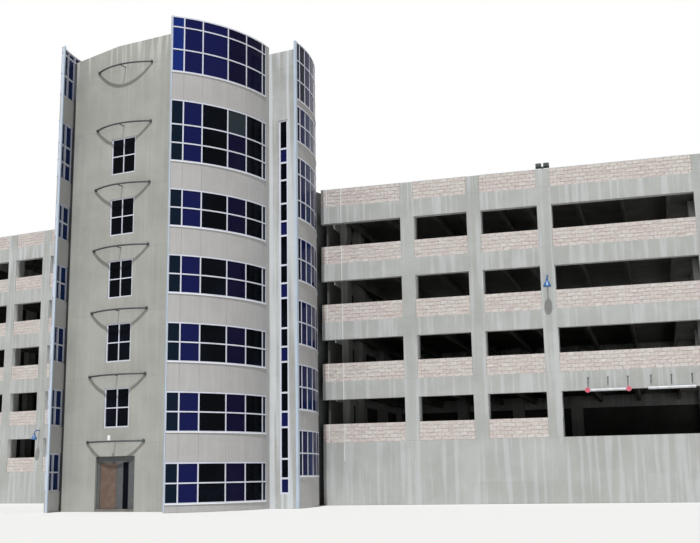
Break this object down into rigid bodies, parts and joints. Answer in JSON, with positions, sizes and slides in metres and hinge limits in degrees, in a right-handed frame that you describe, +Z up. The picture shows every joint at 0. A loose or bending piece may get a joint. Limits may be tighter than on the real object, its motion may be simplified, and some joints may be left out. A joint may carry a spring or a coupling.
{
  "type": "multi storey car park, 1:2 scale model",
  "caption": "Car park with a stair tower of curved glazed bays and two open parking wings of concrete frames and rough block walls.",
  "frame": {"origin": "on the underside of the tower's ground floor, on the entry axis, 1.5 m behind the front wall's face", "axes": "+X along the tower's front wall to the right, +Y away from the viewer, +Z up from the lowest ground"},
  "size_m": [27.2787, 16.757, 12.484],
  "materials": {
    "wall_concrete": "cast concrete, weathered with pale runs below the wall tops",
    "floor_concrete": "trowelled concrete, worn",
    "split_face_block": "rough split face concrete block in running bond",
    "bay_panels": "smooth pinkish concrete panels",
    "white_frame": "pale coated aluminium",
    "tinted_glass": "reflective tinted glass, dark blue to purple",
    "pale_fin": "pale satin paint",
    "dark_metal": "dark grey green paint",
    "infill_paint": "dark grey paint",
    "door_paint": "brown paint",
    "blue_paint": "blue gloss paint",
    "lamp_lens": "white diffuser",
    "bar_paint": "pale satin paint"
  },
  "bodies": {
    "building": {"front_wall": "wall_concrete", "entry_wall_piers": "wall_concrete", "entry_infill": "infill_paint", "entry_over_panel": "infill_paint", "entry_side_panel": "tinted_glass", "entry_lamp": "lamp_lens", "strip_window_wall": "wall_concrete", "left_return_wall": "wall_concrete", "left_side_wall": "wall_concrete", "tower_back_wall": "wall_concrete", "tower_right_wall": "wall_concrete", "tower_front_floors": "floor_concrete", "tower_back_floors": "floor_concrete", "front_bay_bands": "bay_panels", "front_bay_frames": "white_frame", "front_bay_glass": "tinted_glass", "right_bay_bands": "bay_panels", "right_bay_frames": "white_frame", "right_bay_glass": "tinted_glass", "left_bay_bands": "bay_panels", "left_bay_frames": "white_frame", "left_bay_glass": "tinted_glass", "bay_edge_fins": "pale_fin", "front_window_frames": "white_frame", "strip_window_frame": "white_frame", "window_glass": "tinted_glass", "shade_hoops": "dark_metal", "right_columns": "wall_concrete", "right_beams": "wall_concrete", "right_block_walls": "split_face_block", "right_floors": "floor_concrete", "right_floor_ribs": "floor_concrete", "right_base_walls": "wall_concrete", "left_columns": "wall_concrete", "left_beams": "wall_concrete", "left_block_walls": "split_face_block", "left_floors": "floor_concrete", "left_floor_ribs": "floor_concrete", "left_base_walls": "wall_concrete", "bar_brackets": "dark_metal", "wall_lamps": "blue_paint", "roof_floodlights": "dark_metal"},
    "door": {"entry_door": "door_paint"},
    "left_bar": {"clearance_bar_left": "bar_paint"},
    "right_bar": {"clearance_bar_right": "bar_paint"}
  },
  "joints": [
    {"name": "door_swing", "type": "hinge", "parent": "building", "child": "door", "pos_m": [-0.49, -1.431, 0.06], "axis": [0, 0, 1], "range_deg": [-90, 0]},
    {"name": "left_bar_swing", "type": "hinge", "parent": "building", "child": "left_bar", "pos_m": [11.31342, 4.08026, 3.165], "axis": [0.9871, 0.1599, 0], "range_deg": [-40, 3]},
    {"name": "right_bar_swing", "type": "hinge", "parent": "building", "child": "right_bar", "pos_m": [12.86322, 4.33127, 3.165], "axis": [0.9871, 0.1599, 0], "range_deg": [-40, 3]}
  ]
}
